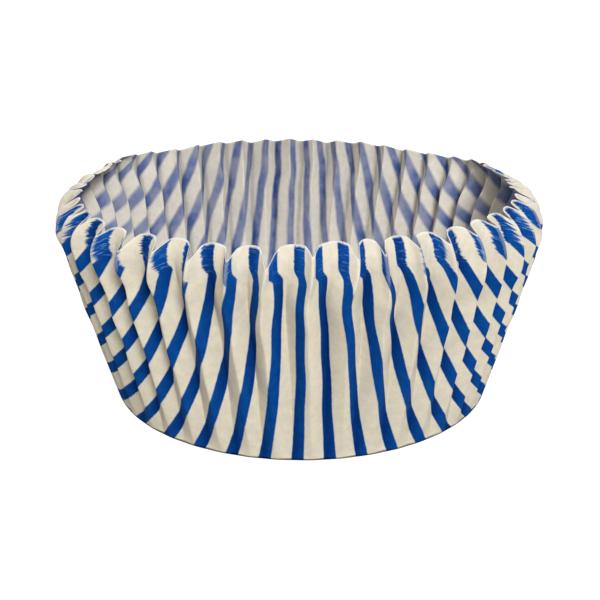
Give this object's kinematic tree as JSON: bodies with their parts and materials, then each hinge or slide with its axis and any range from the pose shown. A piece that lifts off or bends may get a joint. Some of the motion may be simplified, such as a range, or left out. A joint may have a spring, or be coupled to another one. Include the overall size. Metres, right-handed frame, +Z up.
{
  "type": "paper candy cup",
  "caption": "Round fluted paper cup for sweets, with a flat base, a pleated flaring wall, a turned-in lip and a plain striped print.",
  "frame": {"origin": "centre of the flat base, on the surface it rests on", "axes": "+Z up out of the mouth; -Y is the front, where the stripes run straight up the wall"},
  "size_m": [0.0617, 0.0616, 0.0263],
  "materials": {
    "printed_paper": "matt white paper printed with blue stripes on its outer face, which show faintly through on the inside"
  },
  "bodies": {
    "root": {"paper_cup": "printed_paper"}
  },
  "joints": []
}
